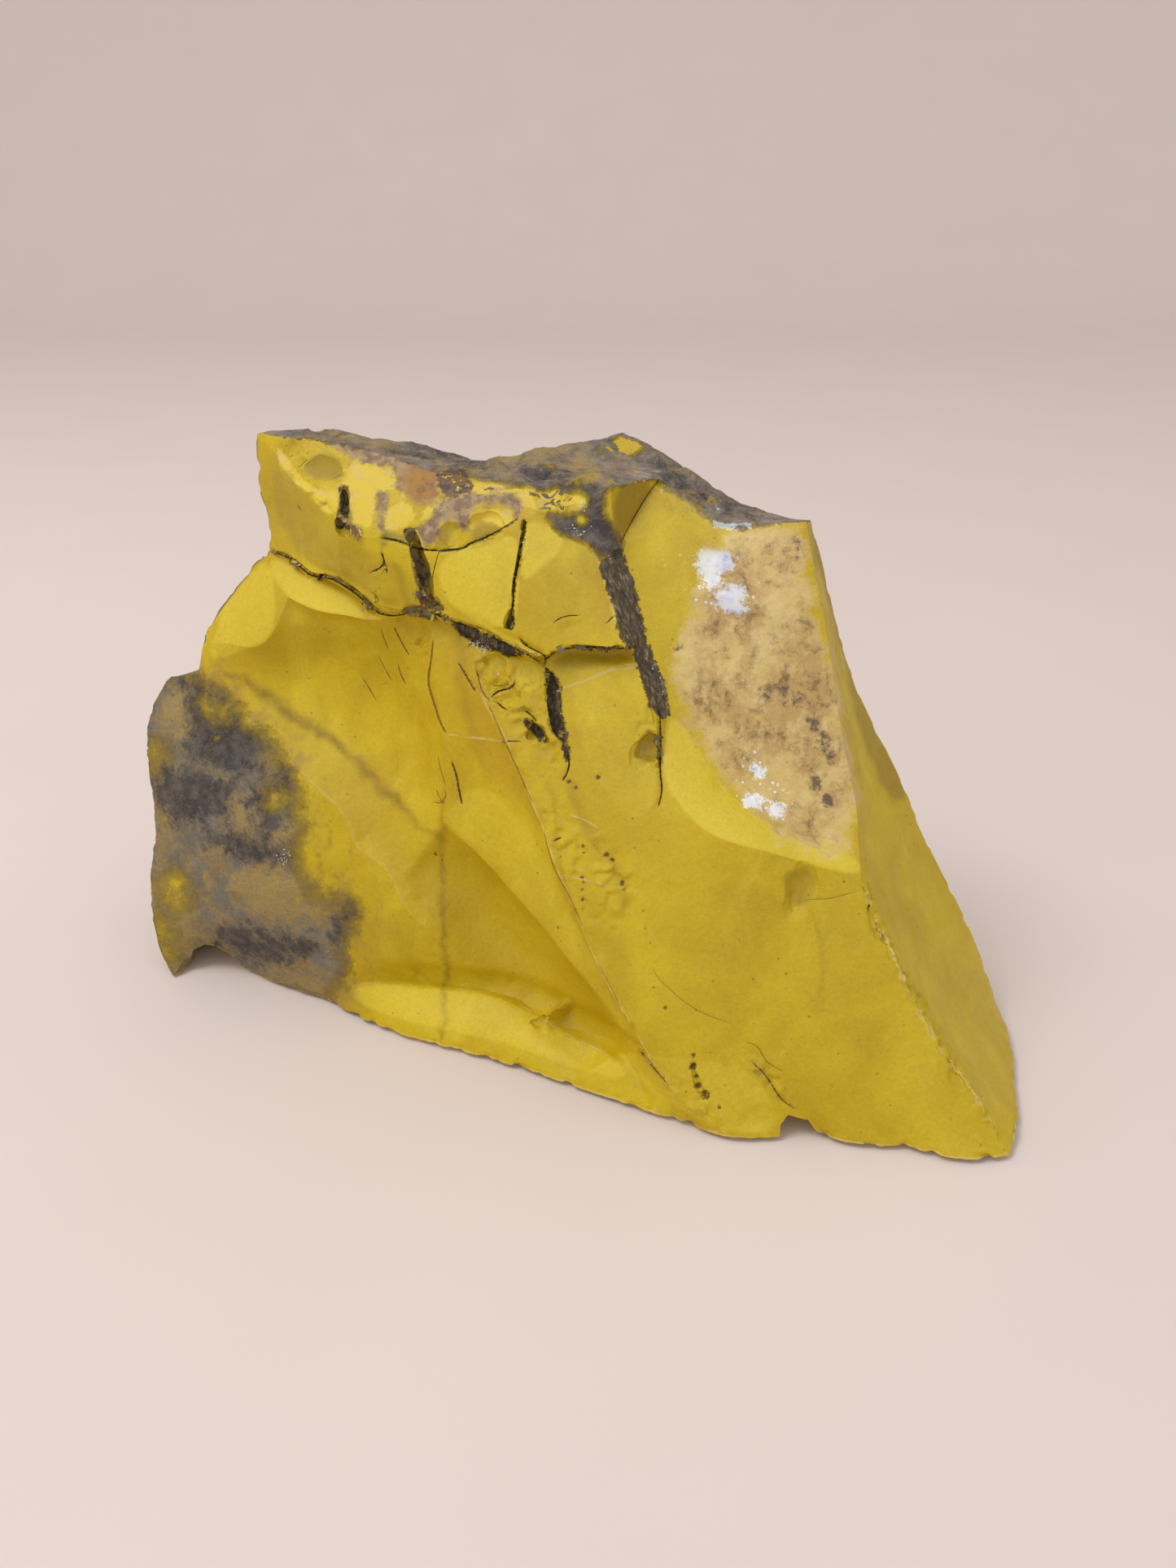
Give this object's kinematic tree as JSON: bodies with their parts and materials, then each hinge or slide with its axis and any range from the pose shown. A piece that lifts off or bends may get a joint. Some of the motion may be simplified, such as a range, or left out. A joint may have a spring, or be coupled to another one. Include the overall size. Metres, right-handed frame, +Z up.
{
  "type": "rough mookaite stone",
  "caption": "Rough broken lump of opaque yellow jasper with dished fracture faces, sharp ridges and a dark weathered crust, standing on its flat underside.",
  "frame": {"origin": "centre of the stone's footprint box, on the surface it stands on", "axes": "+X along the stone's length, from the crusted left lobe to the sharp right corner; -Y out of the broken front face; +Z up"},
  "size_m": [0.161, 0.0904, 0.1008],
  "materials": {
    "mookaite_jasper": "satin"
  },
  "bodies": {
    "root": {"mookaite": "mookaite_jasper"}
  },
  "joints": []
}
